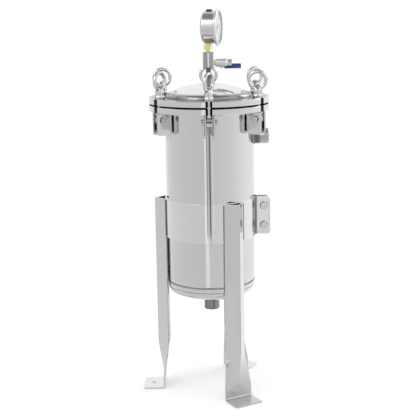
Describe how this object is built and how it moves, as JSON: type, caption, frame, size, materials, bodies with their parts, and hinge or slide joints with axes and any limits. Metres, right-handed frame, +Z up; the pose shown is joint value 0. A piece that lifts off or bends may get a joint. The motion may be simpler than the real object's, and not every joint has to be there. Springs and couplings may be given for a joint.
{
  "type": "bag filter housing",
  "caption": "Upright bag filter housing: swing bolts and eye nuts close a dished lid, a clamp band carries it on angle legs, with a gauge and a vent valve on top.",
  "frame": {"origin": "on the vessel's axis at floor level, the centre of the circle of foot holes", "axes": "+Z up along the vessel's axis, -Y to the front, +X to the right towards the inlet"},
  "size_m": [0.3272, 0.343, 0.959],
  "materials": {
    "polished_steel": "mirror-polished stainless sheet",
    "bright_steel": "polished stainless castings and fasteners",
    "machined_steel": "satin turned and milled stainless bar",
    "brass": "bright turned brass",
    "gasket_rubber": "matt black rubber",
    "glass": "clear flat pane",
    "dial_white": "white lacquered dial",
    "pointer_black": "black lacquer",
    "felt": "needled polyester felt",
    "blue_grip": "dipped vinyl"
  },
  "bodies": {
    "swing_1": {"swing_bolt_1": "bright_steel"},
    "lift_1": {"washer_1": "bright_steel"},
    "nut_1": {"eye_nut_1": "bright_steel"},
    "swing_2": {"swing_bolt_2": "bright_steel"},
    "lift_2": {"washer_2": "bright_steel"},
    "nut_2": {"eye_nut_2": "bright_steel"},
    "swing_3": {"swing_bolt_3": "bright_steel"},
    "lift_3": {"washer_3": "bright_steel"},
    "nut_3": {"eye_nut_3": "bright_steel"},
    "swing_4": {"swing_bolt_4": "bright_steel"},
    "lift_4": {"washer_4": "bright_steel"},
    "nut_4": {"eye_nut_4": "bright_steel"},
    "swing_5": {"swing_bolt_5": "bright_steel"},
    "lift_5": {"washer_5": "bright_steel"},
    "nut_5": {"eye_nut_5": "bright_steel"},
    "swing_6": {"swing_bolt_6": "bright_steel"},
    "lift_6": {"washer_6": "bright_steel"},
    "nut_6": {"eye_nut_6": "bright_steel"},
    "valve_handle": {"valve_ball": "polished_steel", "valve_stem": "bright_steel", "valve_lever": "polished_steel", "valve_grip": "blue_grip", "lever_nut": "bright_steel"},
    "pointer": {"gauge_pointer": "pointer_black"},
    "root": {"shell": "polished_steel", "bottom_head": "polished_steel", "body_flange": "polished_steel", "inlet_socket": "machined_steel", "outlet_socket": "machined_steel", "lid_flange": "polished_steel", "lid_dome": "polished_steel", "lid_gasket": "gasket_rubber", "bracket_1": "polished_steel", "bracket_2": "polished_steel", "bracket_3": "polished_steel", "bracket_4": "polished_steel", "bracket_5": "polished_steel", "bracket_6": "polished_steel", "hinge_pins": "bright_steel", "clamp_band": "polished_steel", "band_bolts": "bright_steel", "band_nuts": "bright_steel", "leg_1": "polished_steel", "leg_2": "polished_steel", "leg_3": "polished_steel", "basket_seat": "polished_steel", "strainer_basket": "polished_steel", "filter_bag": "felt", "bag_ring": "bright_steel", "lid_port": "machined_steel", "port_nipple": "machined_steel", "adapter_block": "machined_steel", "gauge_stem": "brass", "gauge_case": "polished_steel", "gauge_movement": "brass", "gauge_dial": "dial_white", "gauge_window": "glass", "gauge_bezel": "polished_steel", "gauge_plug": "gasket_rubber", "valve_body": "polished_steel"}
  },
  "joints": [
    {"name": "bolt_1_swing", "type": "hinge", "parent": "root", "child": "swing_1", "pos_m": [0, -0.135, 0.6975], "axis": [1, 0, 0], "range_deg": [0, 110]},
    {"name": "washer_1_lift", "type": "slide", "parent": "swing_1", "child": "lift_1", "axis": [0, 0, 1], "range_m": [0, 0.0245]},
    {"name": "nut_1_turn", "type": "hinge", "parent": "lift_1", "child": "nut_1", "pos_m": [0, -0.135, 0.7504], "axis": [0, 0, 1], "continuous": true},
    {"name": "bolt_2_swing", "type": "hinge", "parent": "root", "child": "swing_2", "pos_m": [0.11691, -0.0675, 0.6975], "axis": [0.5, 0.866, 0], "range_deg": [0, 110]},
    {"name": "washer_2_lift", "type": "slide", "parent": "swing_2", "child": "lift_2", "axis": [0, 0, 1], "range_m": [0, 0.0245]},
    {"name": "nut_2_turn", "type": "hinge", "parent": "lift_2", "child": "nut_2", "pos_m": [0.11691, -0.0675, 0.7504], "axis": [0, 0, 1], "continuous": true},
    {"name": "bolt_3_swing", "type": "hinge", "parent": "root", "child": "swing_3", "pos_m": [0.11691, 0.0675, 0.6975], "axis": [-0.5, 0.866, 0], "range_deg": [0, 110]},
    {"name": "washer_3_lift", "type": "slide", "parent": "swing_3", "child": "lift_3", "axis": [0, 0, 1], "range_m": [0, 0.0245]},
    {"name": "nut_3_turn", "type": "hinge", "parent": "lift_3", "child": "nut_3", "pos_m": [0.11691, 0.0675, 0.7504], "axis": [0, 0, 1], "continuous": true},
    {"name": "bolt_4_swing", "type": "hinge", "parent": "root", "child": "swing_4", "pos_m": [0, 0.135, 0.6975], "axis": [-1, 0, 0], "range_deg": [0, 110]},
    {"name": "washer_4_lift", "type": "slide", "parent": "swing_4", "child": "lift_4", "axis": [0, 0, 1], "range_m": [0, 0.0245]},
    {"name": "nut_4_turn", "type": "hinge", "parent": "lift_4", "child": "nut_4", "pos_m": [0, 0.135, 0.7504], "axis": [0, 0, 1], "continuous": true},
    {"name": "bolt_5_swing", "type": "hinge", "parent": "root", "child": "swing_5", "pos_m": [-0.11691, 0.0675, 0.6975], "axis": [-0.5, -0.866, 0], "range_deg": [0, 110]},
    {"name": "washer_5_lift", "type": "slide", "parent": "swing_5", "child": "lift_5", "axis": [0, 0, 1], "range_m": [0, 0.0245]},
    {"name": "nut_5_turn", "type": "hinge", "parent": "lift_5", "child": "nut_5", "pos_m": [-0.11691, 0.0675, 0.7504], "axis": [0, 0, 1], "continuous": true},
    {"name": "bolt_6_swing", "type": "hinge", "parent": "root", "child": "swing_6", "pos_m": [-0.11691, -0.0675, 0.6975], "axis": [0.5, -0.866, 0], "range_deg": [0, 110]},
    {"name": "washer_6_lift", "type": "slide", "parent": "swing_6", "child": "lift_6", "axis": [0, 0, 1], "range_m": [0, 0.0245]},
    {"name": "nut_6_turn", "type": "hinge", "parent": "lift_6", "child": "nut_6", "pos_m": [-0.11691, -0.0675, 0.7504], "axis": [0, 0, 1], "continuous": true},
    {"name": "valve_quarter_turn", "type": "hinge", "parent": "root", "child": "valve_handle", "pos_m": [0.0328, 0, 0.8285], "axis": [0, -0.766, 0.6428], "range_deg": [0, 90]},
    {"name": "pointer_sweep", "type": "hinge", "parent": "root", "child": "pointer", "pos_m": [0, 0, 0.914], "axis": [-0.9744, 0.225, 0], "range_deg": [0, 270]}
  ],
  "couplings": [
    {"joint": "washer_1_lift", "follows": "bolt_1_swing", "m_per_rad": 0.0125},
    {"joint": "washer_2_lift", "follows": "bolt_2_swing", "m_per_rad": 0.0125},
    {"joint": "washer_3_lift", "follows": "bolt_3_swing", "m_per_rad": 0.0125},
    {"joint": "washer_4_lift", "follows": "bolt_4_swing", "m_per_rad": 0.0125},
    {"joint": "washer_5_lift", "follows": "bolt_5_swing", "m_per_rad": 0.0125},
    {"joint": "washer_6_lift", "follows": "bolt_6_swing", "m_per_rad": 0.0125}
  ]
}
